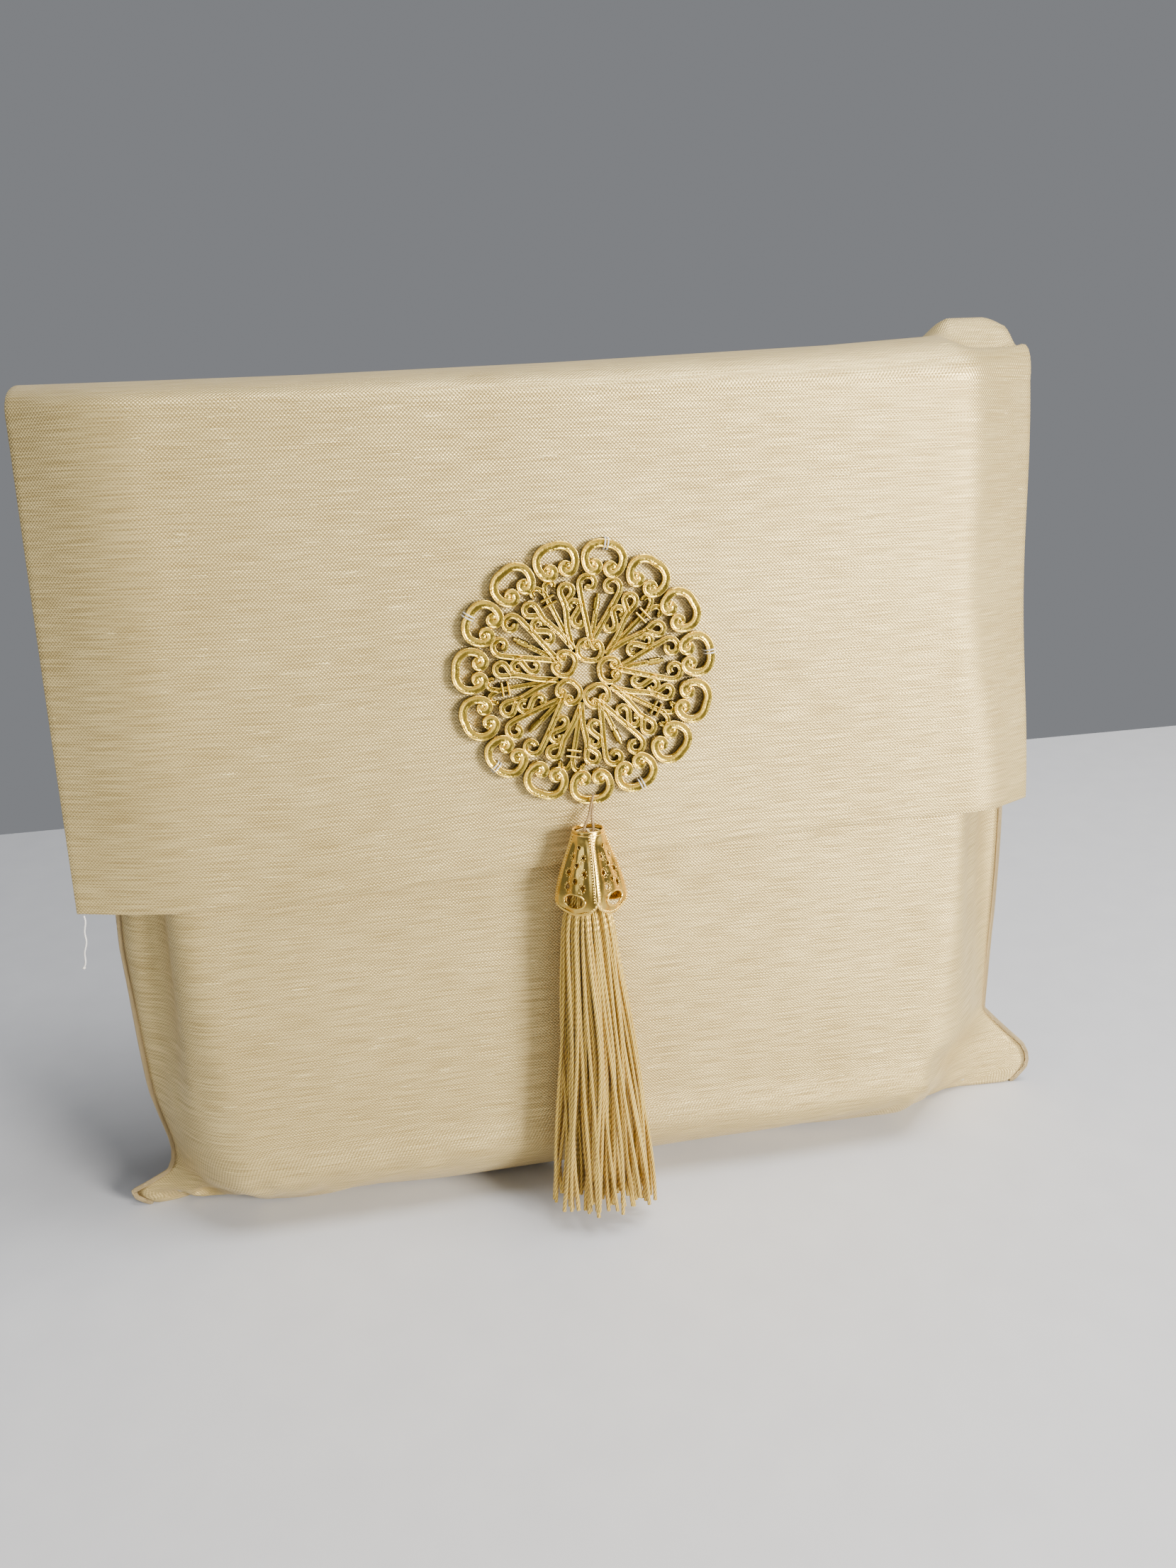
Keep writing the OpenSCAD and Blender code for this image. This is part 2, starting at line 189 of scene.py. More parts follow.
# ---- Materials ----
class Shader:
    """One material's nodes. Each method adds a node and returns its output."""

    def __init__(self, name, **settings):
        self.material = bpy.data.materials.new(name)
        self.material.use_nodes = True
        self.tree = self.material.node_tree
        self.main = self.tree.nodes["Principled BSDF"]
        for key, value in settings.items():
            self.main.inputs[key.replace("_", " ")].default_value = value

    def node(self, kind, values=(), output=0, **settings):
        made = self.tree.nodes.new("ShaderNode" + kind)
        for key, value in settings.items():
            setattr(made, key, value)
        for key, value in dict(values).items():
            if isinstance(value, bpy.types.NodeSocket):
                self.tree.links.new(value, made.inputs[key])
            else:
                made.inputs[key].default_value = value
        return made.outputs[output]

    def split(self, vector):
        """The three numbers of a vector, each as an output."""
        made = self.tree.nodes.new("ShaderNodeSeparateXYZ")
        self.tree.links.new(vector, made.inputs[0])
        return made.outputs

    def maths(self, kind, *values):
        return self.node("Math", dict(enumerate(values)), operation=kind)

    def scaled(self, vector, factors):
        return self.node("VectorMath", {0: vector, 1: factors}, operation="MULTIPLY")

    def ramp(self, value, low, high, to_low=0.0, to_high=1.0):
        limits = {"Value": value, 1: low, 2: high, 3: to_low, 4: to_high}
        return self.node("MapRange", limits, interpolation_type="SMOOTHSTEP")

    def mix(self, factor, a, b):
        return self.node("Mix", {0: factor, 6: a, 7: b}, output=2, data_type="RGBA")

    def noise(self, vector, scale=1.0, detail=2.0):
        return self.node("TexNoise", {"Vector": vector, "Scale": scale, "Detail": detail})

    def finish(self, colour, height=None, depth=0.0, roughness=None):
        self.tree.links.new(colour, self.main.inputs["Base Color"])
        if roughness is not None:
            self.tree.links.new(roughness, self.main.inputs["Roughness"])
        if height is not None:
            bump = self.node("Bump", {"Strength": 1.0, "Distance": depth, "Height": height})
            self.tree.links.new(bump, self.main.inputs["Normal"])
        return self.material


def dupioni(name, light, dark, pitch=0.74 * MM, slubs=1.0):
    """Silk with a plain weave, long uneven weft streaks and here and there a pale slub."""
    s = Shader(name, Roughness=0.36, Metallic=0.55, Sheen_Weight=0.1, Sheen_Roughness=0.4)
    place = s.node("UVMap", uv_map=MAP)
    turns = s.split(s.scaled(place, (2 * math.pi / pitch, 2 * math.pi / pitch, 0)))
    warp = s.maths("SINE", turns[0])
    weft = s.maths("SINE", turns[1])
    weave = s.maths("MULTIPLY_ADD", s.maths("MULTIPLY", warp, weft), 0.5, 0.5)
    streaks = s.noise(s.scaled(place, (100, 3400, 0)), detail=3)
    streak = s.ramp(streaks, 0.3, 0.7)
    slub = s.ramp(s.noise(s.scaled(place, (130, 1900, 3)), detail=2), 0.68, 0.74, 0, slubs)
    broad = s.noise(s.scaled(place, (22, 34, 0)), detail=2)
    tone = s.maths("MULTIPLY_ADD", streak, 0.4, s.maths("MULTIPLY", weave, 0.5))
    tone = s.maths("ADD", tone, s.maths("MULTIPLY_ADD", broad, 0.25, -0.08))
    colour = s.mix(s.ramp(tone, 0.05, 0.95), dark, light)
    pale = tuple(min(1, 1.25 * c) for c in light[:3]) + (1,)
    colour = s.mix(slub, colour, pale)
    height = s.maths("MULTIPLY_ADD", streak, 0.5, s.maths("MULTIPLY", weave, 0.9))
    height = s.maths("MULTIPLY_ADD", slub, 1.2, height)
    rough = s.ramp(streaks, 0.3, 0.7, 0.46, 0.33)
    return s.finish(colour, height, 0.09 * MM, rough)


def cloth(name, light, dark, pitch, roughness, depth):
    """Plain matt cloth with a visible weave."""
    s = Shader(name, Roughness=roughness, Sheen_Weight=0.2)
    place = s.node("UVMap", uv_map=MAP)
    turns = s.split(s.scaled(place, (2 * math.pi / pitch, 2 * math.pi / pitch, 0)))
    weave = s.maths("MULTIPLY", s.maths("SINE", turns[0]), s.maths("SINE", turns[1]))
    fuzz = s.noise(s.scaled(place, (700, 700, 0)), detail=3)
    tone = s.maths("MULTIPLY_ADD", weave, 0.3, fuzz)
    colour = s.mix(s.ramp(tone, 0.1, 0.9), dark, light)
    return s.finish(colour, tone, depth)


def yarn(name, light, dark, twist, roughness, metallic=0.0):
    """Thread of two plies, painted darker in the groove between them as shade and lighter on their crests as
    highlight: the map runs along it in metres and round it from 0 to 1.
    """
    s = Shader(name, Roughness=roughness, Metallic=metallic, Sheen_Weight=0.3)
    place = s.node("UVMap", uv_map=MAP)
    along = s.split(place)
    turn = s.maths("MULTIPLY_ADD", along[0], 2 * math.pi / twist, s.maths("MULTIPLY", along[1], 4 * math.pi))
    # painted shade in the grooves between the plies and a painted highlight on their crests
    ply_shade = s.maths("ABSOLUTE", s.maths("SINE", turn))
    fibres = s.noise(s.scaled(place, (900, 16, 0)), detail=2)
    spots = s.noise(s.scaled(place, (60, 1, 0)), detail=2)
    tone = s.maths("MULTIPLY_ADD", ply_shade, 0.6, s.maths("MULTIPLY", fibres, 0.35))
    tone = s.maths("MULTIPLY_ADD", spots, 0.4, s.maths("SUBTRACT", tone, 0.15))
    return s.finish(s.mix(s.ramp(tone, 0.1, 1.0), dark, light), tone, 0.12 * MM)


def gold(name, bright, dark, roughness, low, high, hammered=1.0):
    """Gold plate, bright on what stands up and olive brown in the hollows; the dark in the hollows is
    painted shade over the antique finish's own olive tone.
    The map's second number is height."""
    s = Shader(name, Metallic=1.0, Roughness=roughness)
    place = s.node("UVMap", uv_map=MAP)
    height = s.split(place)[1]
    spot = s.node("TexCoord", output=3)
    patches = s.noise(spot, 420, 3)
    dents = s.noise(spot, 1900, 2)
    # height sets the colour: low parts get the dark colour as painted shade in the hollows, high parts the
    # bright one
    level = s.maths("MULTIPLY_ADD", patches, 0.45, s.maths("ADD", height, -0.22))
    colour = s.mix(s.ramp(level, low, high), dark, bright)
    rough = s.ramp(patches, 0.3, 0.7, roughness + 0.1, roughness - 0.06)
    return s.finish(colour, dents, 0.09 * MM * hammered, rough)


SILK = dupioni("champagne_silk", (0.82, 0.63, 0.27, 1), (0.36, 0.25, 0.08, 1))
SATIN = dupioni("silk_inside", (0.78, 0.6, 0.31, 1), (0.42, 0.3, 0.13, 1), slubs=0.3)
LINING = cloth("lining_cloth", (0.72, 0.63, 0.46, 1), (0.5, 0.42, 0.28, 1), 0.5 * MM, 0.5, 0.05 * MM)
COTTON = cloth("cotton_ticking", (0.85, 0.82, 0.74, 1), (0.62, 0.58, 0.5, 1), 0.7 * MM, 0.85, 0.1 * MM)
SEAM = dupioni("seam_silk", (0.8, 0.61, 0.31, 1), (0.42, 0.3, 0.13, 1), pitch=0.5 * MM, slubs=0.0)
# the dark colours are painted shade for the hollows, over the antique finish's own olive brown
GOLD = gold("antique_gold", (0.88, 0.6, 0.09, 1), (0.1, 0.07, 0.008, 1), 0.24, 0.42, 1.0)
CAP_GOLD = gold("stamped_gold", (0.95, 0.66, 0.16, 1), (0.26, 0.135, 0.012, 1), 0.16, 0.25, 0.85, 0.12)
# each yarn's dark colour is mostly the painted shade of its ply grooves
RAYON = yarn("rayon_yarn", (0.9, 0.62, 0.11, 1), (0.22, 0.12, 0.006, 1), 2.6 * MM, 0.25, 0.55)
THREAD = yarn("sewing_thread", (0.9, 0.88, 0.82, 1), (0.6, 0.56, 0.48, 1), 0.8 * MM, 0.5)
BROWN = yarn("brown_gold_thread", (0.36, 0.22, 0.06, 1), (0.1, 0.05, 0.01, 1), 1.1 * MM, 0.35, 0.3)


# ---- Camera, floor and light ----
SENSOR, LENS = 36, 27.03  # millimetres
EYE = (-0.038, MID_Y - 0.247, TOP + 0.0094)
TURN, TILT, ROLL = -9.45, -20.42, 2.01  # degrees: sideways, upwards, and about the line of sight
UPRIGHT = 90  # a camera looks down before it is turned


def add_camera():
    data = bpy.data.cameras.new("view")
    data.sensor_width = SENSOR
    data.lens = LENS
    data.clip_start = 0.01
    made = bpy.data.objects.new("view", data)
    turn = Matrix.Identity(4)
    for angle, axis in ((TURN, "Z"), (TILT, "X"), (ROLL, "Y"), (UPRIGHT, "X")):
        turn = turn @ Matrix.Rotation(math.radians(angle), 4, axis)
    made.matrix_world = Matrix.Translation(EYE) @ turn
    bpy.context.scene.collection.objects.link(made)
    bpy.context.scene.camera = made


def add_stage():
    """A pale table that ends behind the pouch, in front of a plain grey surround."""
    build = Build()
    wide, near, far = 1.6, -1.6, 0.26
    corners = np.array([[[-wide, near, 0], [wide, near, 0]], [[-wide, far, 0], [wide, far, 0]]])
    build.grid(corners, corners[..., :2])
    s = Shader("pale_table", Roughness=0.55)
    grain = s.noise(s.node("TexCoord", output=3), 90, 4)
    colour = s.mix(grain, (0.5, 0.5, 0.51, 1), (0.56, 0.56, 0.565, 1))
    floor = build.piece("floor", s.finish(colour, grain, 0.05 * MM), None, None)
    world = bpy.data.worlds.new("studio")
    world.use_nodes = True
    surround = world.node_tree.nodes["Background"]
    surround.inputs["Color"].default_value = (0.6, 0.62, 0.66, 1)
    surround.inputs["Strength"].default_value = 0.36
    bpy.context.scene.world = world


def add_light(name, place, size, power, colour):
    """A round soft light that faces the pouch's middle."""
    data = bpy.data.lights.new(name, "AREA")
    data.shape = "DISK"
    data.size = size
    data.energy = power
    data.color = colour
    made = bpy.data.objects.new(name, data)
    target = Vector((0, MID_Y, TOP / 2))
    made.location = place
    made.rotation_euler = (target - Vector(place)).to_track_quat("-Z", "Y").to_euler()
    bpy.context.scene.collection.objects.link(made)


# ---- Pouch ----
SETTLE_FRAMES = 22  # how long the cloth simulation runs
SETTLE_LIMIT = 4 * MM  # the furthest that a point may move in it


def level(z, *pairs):
    """A size that changes with height: pairs of height and size, in millimetres."""
    heights, sizes = zip(*pairs)
    return np.interp(z / MM, heights, sizes) * MM


def pouch_level(z, depth, n, inset=0.0):
    """Half of the pouch's section at one height: n + 1 even points from the left seam to the right."""
    left = level(z, (0, 106), (4, 110), (9, 99), (15, 98), (30, 101), (65, 103.5), (85, 103), (110, 97),
                 (177, 92))
    right = level(z, (0, 113), (5, 117), (10, 116), (16, 110), (23, 103), (50, 104), (85, 104), (110, 97),
                  (177, 92))
    flat = level(z, (0, 84), (20, 88), (90, 87), (177, 82))
    fin_left = level(z, (0, 1000), (5, 900), (11, 0))
    fin_right = level(z, (0, 1000), (16, 900), (25, 0))
    if inset:  # what is inside keeps out of the empty corners
        left, right = np.minimum(left, 95 * MM), np.minimum(right, 95 * MM)
        fin_left = fin_right = 0
    left, right, flat = left - inset, right - inset, flat - inset
    x = np.linspace(-left, right, 600)
    seam = np.where(x < 0, left, right)
    fin = np.where(x < 0, fin_left, fin_right)
    bend = 9 * MM  # the front bends round this far on each side of its flat, then runs straight to the seam
    w = np.clip((np.abs(x) - flat + bend) / (seam - flat + bend), 0, 1)
    c = np.minimum(2 * bend / (seam - flat + bend), 0.9)
    k = 1 / (1 - c / 2)
    body = np.where(w < c, 1 - k * w * w / (2 * c), 1 - k * (w - c / 2))
    y = (depth - inset) * (body * (1 - fin) + (1 - w) ** 3 * fin)
    along = lengths(np.stack((x, y), -1))
    even = np.linspace(0, along[-1], n + 1)
    return np.interp(even, along, x), np.interp(even, along, y)


def pouch_rows(step):
    """Height and half depth of each level, from the fold under the base up to the mouth."""
    z = FOOT_H * (1 - np.cos(np.linspace(0, math.pi / 2, 60)))
    cut = (face_half(0) - BASE_HALF) * (1 - z / FOOT_H) ** 2.6
    path = np.vstack(([(0, 0)], np.stack((z, face_half(z) - cut), -1), [(TOP, MOUTH_HALF)]))
    along = lengths(path)
    even = np.linspace(0, along[-1], round(along[-1] / step) + 1)
    return np.stack((np.interp(even, along, path[:, 0]), np.interp(even, along, path[:, 1])), -1)


def pouch_grid(rows, n, inset=0.0):
    """Rings of 2n points for each level: the front from left to right, then the back from right to left."""
    rings = []
    for z, depth in rows:
        x, y = pouch_level(z, max(depth, inset), n, inset)
        forward = level(z, (0, 5), (25, 4), (90, 0)) * min(1, depth / BASE_HALF)
        height = np.full(n + 1, inset + z * (TOP - inset) / TOP)
        share = forward / max(depth, BASE_HALF)
        front = np.stack((x, MID_Y - forward - y * (1 - share), height), -1)
        back = np.stack((x, MID_Y - forward + y * (1 + share), height), -1)
        rings.append(np.vstack((front, back[1:-1][::-1])))
    return np.array(rings)


def simulate(piece, solid):
    """Lets the cloth settle round the solid, and keeps no point further from its start than the limit."""
    solid.modifiers.new("solid", "COLLISION")
    solid.collision.thickness_outer = 1 * MM
    solid.collision.cloth_friction = 8
    start = np.array([v.co for v in piece.data.vertices])
    settings = piece.modifiers.new("cloth", "CLOTH").settings
    settings.quality = 6
    settings.mass = 0.05
    settings.tension_stiffness = settings.compression_stiffness = 25
    settings.shear_stiffness = 12
    settings.bending_stiffness = 0.6
    settings.air_damping = 4
    settings.shrink_min = -0.012  # below zero, the cloth is a little larger than it starts
    settings.use_pressure = True
    settings.uniform_pressure_force = 0.6
    settings.vertex_group_mass = "held"
    piece.modifiers["cloth"].collision_settings.distance_min = 1 * MM
    piece.modifiers["cloth"].point_cache.frame_end = SETTLE_FRAMES
    scene = bpy.context.scene
    for f in range(1, SETTLE_FRAMES + 1):
        scene.frame_set(f)
    seen = piece.evaluated_get(bpy.context.evaluated_depsgraph_get())
    moved = np.array([v.co for v in seen.data.vertices]) - start
    piece.modifiers.clear()
    scene.frame_set(1)
    far = np.linalg.norm(moved, axis=1, keepdims=True)
    moved *= np.minimum(1, SETTLE_LIMIT / np.maximum(far, 1e-12))
    solid.modifiers.clear()
    return start + moved


def grid_object(name, rings):
    """A bare piece for the simulation, which removes it again."""
    build = Build()
    rows, cols = rings.shape[:2]
    build.grid(rings, np.zeros((rows, cols + 1, 2)), wrap=True)
    return build.piece(name, SILK, "pouch", "champagne_silk")


def pouch_cloth(rows, n):
    """The stuffed pouch's rings, settled by simulation round the stuffing, with the mouth held."""
    rings = pouch_grid(rows, n)
    dents = wave(rings[..., 0], (0.35 * MM, 0.09, 0.1), (0.2 * MM, 0.037, 0.6))
    dents = dents * wave(rings[..., 2], (1, 0.13, 0.15), (0.6, 0.05, 0.4))
    rings[..., 1] += dents * np.sign(MID_Y - rings[..., 1])
    bag = grid_object("bag", rings)
    held = bag.vertex_groups.new(name="held")
    cols = rings.shape[1]
    total = rings.shape[0] * cols
    held.add(list(range(total - 3 * cols, total)), 1.0, "REPLACE")
    corner_h = 30 * MM  # below this the corners beside the seams hardly move
    for j, z in enumerate(rows[:, 0]):
        if z < corner_h:
            for seam in (0, n):
                held.add([j * cols + (seam + i) % cols for i in range(-9, 10)], 0.97, "REPLACE")
    stuffing = grid_object("stuffing", pouch_grid(rows, n // 2, inset=2.6 * MM))
    settled = simulate(bag, stuffing).reshape(rings.shape)
    bpy.data.objects.remove(bag)
    bpy.data.objects.remove(stuffing)
    return settled


def settle_clear(rings):
    """Keeps the front behind the flap and the tassel, and everything on the table."""
    out = rings @ OUT
    past = np.maximum(out - (FACE - 0.1 * MM), 0)
    rings = rings - past[..., None] * OUT
    rings[..., 2] = np.maximum(rings[..., 2], 0.25 * MM)
    return rings


def ring_normals(rings):
    """Which way the cloth faces at each point."""
    around = np.roll(rings, -1, 1) - np.roll(rings, 1, 1)
    up = np.gradient(rings, axis=0)
    return unit(np.cross(around, up))


def ring_map(rings):
    """Cloth coordinates: along the weft round each ring, and up the warp."""
    rows, cols = rings.shape[:2]
    half = cols // 2
    closed = np.concatenate((rings, rings[:, :1]), 1)
    steps = np.linalg.norm(np.diff(closed, axis=1), axis=2)
    u = np.concatenate((np.zeros((rows, 1)), np.cumsum(steps, 1)), 1)
    u = u - u[:, half // 2 : half // 2 + 1]
    v = lengths(rings[:, half // 2])
    return np.stack((u, np.broadcast_to(v[:, None], u.shape)), -1)


def shell(name, rings, thickness, material, slot, inset=0.0):
    """A layer of cloth on the rings, sharp along its two side seams."""
    moved = rings - ring_normals(rings) * inset
    build = Build()
    build.grid(moved, ring_map(rings), wrap=True)
    made = build.piece(name, material, "pouch", slot)
    cols = rings.shape[1]
    sharp = made.data.attributes.new("crease_edge", "FLOAT", "EDGE")
    for edge in made.data.edges:
        a, b = (v % cols for v in edge.vertices)
        sharp.data[edge.index].value = 1.0 if a == b and a in (0, cols // 2) else 0.0
    fine = made.modifiers.new("fine", "SUBSURF")
    fine.levels = fine.render_levels = 1
    solid = made.modifiers.new("thick", "SOLIDIFY")
    solid.thickness, solid.offset = thickness, -1
    return made


def add_pouch():
    step = 3.0 * MM
    rows = pouch_rows(step)
    n = 70
    rings = settle_clear(pouch_cloth(rows, n))
    silk = shell("pouch_silk", rings, 0.45 * MM, SILK, "champagne_silk")
    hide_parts("front_panel", "back_panel")
    upper = [j for j, (z, depth) in enumerate(rows) if depth > 12 * MM or z > FOOT_H][0]
    inner = rings[upper:].copy()
    inner[..., 0] = np.clip(inner[..., 0], -99 * MM, 99 * MM)
    lining = shell("pouch_lining", inner, 0.3 * MM, LINING, "lining", inset=0.6 * MM)
    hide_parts("front_lining", "back_lining")
    add_hem(rings)
    for side, column in (("left", 0), ("right", n)):
        add_side_seam(side, rings[:, column])
    add_insert(rows, n)


def add_hem(rings):
    """The silk turned in at the mouth."""
    hem = shell("turned_hem", rings[-4:], 0.45 * MM, SATIN, "champagne_silk", inset=1.0 * MM)
    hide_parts("mouth_hem")


def add_side_seam(side, line):
    """The ridge where front and back are sewn together."""
    build = Build()
    sign = -1 if side == "left" else 1
    path = line + np.array((sign * 0.25 * MM, 0, 0.1 * MM))
    angles = np.linspace(0, 2 * math.pi, 10, endpoint=False)
    profile = np.stack((0.6 * MM * np.cos(angles), 0.42 * MM * np.sin(angles)), -1)
    fine = np.linspace(0, len(path) - 1, 4 * len(path))
    path = np.stack([np.interp(fine, range(len(path)), path[:, k]) for k in range(3)], -1)
    sweep(build, path, profile, (0, 1, 0))
    made = build.piece(f"{side}_seam_ridge", SEAM, "pouch", "champagne_silk")
    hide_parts(f"{side}_side_seam")


def add_insert(rows, n):
    """The stuffed cotton insert, crowned at its top."""
    inset = 3.2 * MM
    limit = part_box("insert_cover")[1].z - 3 * MM
    rings = pouch_grid(rows[rows[:, 0] < limit], n // 2, inset)
    top = rings[-1]
    middle = np.array((0, MID_Y, 0))
    crown = []
    for share, rise in ((0.75, 1.6), (0.4, 2.6), (0.05, 3.0)):
        ring = middle + (top - middle) * np.array((1 - (1 - share) * 0.06, share, 1))
        ring[:, 2] = top[:, 2] + rise * MM
        crown.append(ring)
    rings = np.concatenate((rings, np.array(crown)))
    build = Build()
    build.grid(rings, ring_map(rings), wrap=True)
    build.fan(rings[-1], (0, 0))
    insert = build.piece("stuffed_insert", COTTON, "pouch", "cotton")
    fine = insert.modifiers.new("fine", "SUBSURF")
    fine.levels = fine.render_levels = 1
    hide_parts("insert_cover", "fibre_fill")


# ---- Flap ----
def turned_row(u, angles):
    """x, and how far back it lies, for cloth that turns by these angles from the middle outwards."""
    middle = len(u) // 2
    mean = (angles[1:] + angles[:-1]) / 2
    step = np.diff(u)
    x = np.concatenate(([0], np.cumsum(step * np.cos(mean))))
    back = np.concatenate(([0], np.cumsum(step * np.sin(mean))))
    return x - x[middle], back - back[middle]


def smooth(x):
    x = np.clip(x, 0, 1)
    return x * x * (3 - 2 * x)


def add_flap():
    """One double-layered sheet of silk, from the back's top edge over the fold and down the front."""
    hi = spans("flap_panel")[1]
    back_out, flap_end = spans("flap_lining")[0][1] - FACE, hi[2] - FACE_TOP
    thick = hi[1] - FACE - back_out - 0.3 * MM
    centre = back_out + thick / 2 + 0.05 * MM
    width = 214 * MM
    u = np.linspace(-width / 2, width / 2 + 1 * MM, 145)
    drops = np.linspace(0, 1, 62)
    front, fold = [], []
    for share in drops:
        crease = (84 + 7 * share + wave(share, (1.6, 0.9, 0.2))) * MM
        angle = math.radians(30) * smooth((u - crease + 4 * MM) / (9 * MM))
        left_turn = math.radians(29 - 12 * share) * smooth((-u - 76 * MM) / (26 * MM))
        x, back = turned_row(u, angle - left_turn)
        end = flap_end + np.interp(x, (-0.105, -0.06, 0, 0.06, 0.09), (1.5, 2.8, -0.7, -2.2, -2.4)) * MM
        drop = share * end
        ripple = 0.25 * MM * wave(x, (1, 0.11, 0.3), (0.6, 0.047, 0.1)) * math.sin(math.pi * share)
        out = centre - back + ripple
        spread = ((x + 0.072) / 0.012) ** 2 + ((drop - 0.014) / 0.008) ** 2
        out = out - 0.5 * MM * np.exp(-spread) + 0.4 * MM * np.exp(-((x + 0.085) / 0.01) ** 2 - spread / 6)
        out = np.where(np.abs(x) < 0.08, np.maximum(out, centre), out)
        front.append(to_world(np.stack((x, FACE + out, FACE_TOP + drop), -1)))
    top = front[0]
    x = top[:, 0]
    back_y = BACK_Y + 0.15 * MM
    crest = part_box("flap_fold")[1].z - TOP - thick / 2
    crest = crest + np.interp(x, (-0.105, -0.05, 0, 0.06, 0.09), (-1.2, -1.2, -0.6, 0.8, 2.2)) * MM
    arch = 4.5 * MM * smooth((x - 0.083) / 0.008) * smooth((0.112 - x) / 0.013)
    for t in np.linspace(0, 1, 22)[:-1]:
        turn = math.pi * t
        y = back_y + (top[:, 1] - back_y) * (1 - math.cos(turn)) / 2
        z = TOP + crest * math.sin(turn) ** 0.8 + arch * math.exp(-(((t - 0.3) / 0.14) ** 2))
        z = z - 0.9 * arch * math.exp(-(((t - 0.6) / 0.12) ** 2))
        z = z * (1 - smooth(4 * t - 3)) + (z + (top[:, 2] - TOP)) * smooth(4 * t - 3)
        fold.append(np.stack((x, y, z), -1))
    rows = np.array(fold + front)
    build = Build()
    along = lengths(rows[:, len(u) // 2])
    uv = np.stack(np.meshgrid(u, -along, indexing="xy"), -1)
    build.grid(rows, uv, flip=True)
    made = build.piece("flap_silk", SILK, None, "champagne_silk")
    solid = made.modifiers.new("thick", "SOLIDIFY")
    solid.thickness, solid.offset = thick, 0
    edge = made.modifiers.new("edge", "BEVEL")
    edge.width, edge.segments, edge.limit_method = 0.2 * MM, 2, "ANGLE"
    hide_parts("flap_fold", "flap_panel", "flap_interfacing", "flap_lining")
    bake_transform(made)


def add_thread_tail():
    """The loose end of white thread at the flap's lower left corner, with a small knot."""
    path = vertices("thread_tail") @ AXES.T
    top, bottom = path[:, 2].min(), path[:, 2].max()
    x = path[:, 0].max() - 0.3 * MM
    out = path[:, 1].mean()
    t = np.linspace(0, 1, 24)
    points = np.stack((x - 1.6 * MM * t * t + wave(t, (0.15 * MM, 0.4, 0)), out + 0.4 * MM * np.sin(3 * t),
                       top + (bottom - top) * t), -1)
    build = Build()
    sweep(build, to_world(points), circle(0.17 * MM, 8), OUT)
    knot = 0.32 * MM
    end = to_world(points[-1:])[0]
    rings = []
    for h in np.linspace(-1, 1, 9):
        r = knot * math.sqrt(max(0, 1 - h * h)) + 1e-5
        for a in np.linspace(0, 2 * math.pi, 12, endpoint=False):
            rings.append(end + np.array((r * math.cos(a), r * math.sin(a), h * knot)))
    build.grid(np.array(rings).reshape(9, 12, 3), np.zeros((9, 13, 2)), wrap=True)
    made = build.piece("loose_thread", THREAD, "flap", "sewing_thread")
    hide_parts("thread_tail")


# ---- Medallion ----
HEARTS = 15  # round the rim
PITCH = 360 / HEARTS
PHASE = 180 - PITCH * (HEARTS // 2)  # puts one heart at the very bottom


def band(width, height, rim=0.22):
    """Section of a cast bar: a flat with a thin raised rim along both edges, and rounded sides."""
    w, h = width / 2, height
    r = rim * width
    left = [(-w * 0.94, 0), (-w, h * 0.3), (-w, h * 0.8), (-w + 0.35 * r, h), (-w + 0.8 * r, h * 0.97),
            (-w + 1.5 * r, h * 0.8)]
    right = [(-x, y) for x, y in reversed(left)]
    return np.array(left + [(0, h * 0.78)] + right)


def bar(width, height):
    """Section of a rounded, slightly flattened wire."""
    w, h = width / 2, height
    left = [(-w * 0.9, 0), (-w, h * 0.45), (-w * 0.86, h * 0.78), (-w * 0.5, h * 0.95)]
    right = [(-x, y) for x, y in reversed(left)]
    return np.array(left + [(0, h)] + right)


def arc(centre, r0, r1, a0, a1, n):
    """n points round a centre, from one radius and angle in degrees to another."""
    t = np.linspace(0, 1, n)
    a = np.radians(a0 + (a1 - a0) * t)
    r = r0 + (r1 - r0) * t
    return np.stack((centre[0] + r * np.cos(a), centre[1] + r * np.sin(a)), -1)


def join(*parts):
    """A smooth path through given points and arcs, in millimetres."""
    rough = np.vstack([np.atleast_2d(p) for p in parts])
    along = lengths(rough)
    even = np.linspace(0, along[-1], max(8, round(along[-1] / 0.32)))
    path = np.stack([np.interp(even, along, rough[:, k]) for k in (0, 1)], -1)
    for _ in range(4):
        path[1:-1] = (path[:-2] + 2 * path[1:-1] + path[2:]) / 4
    return path


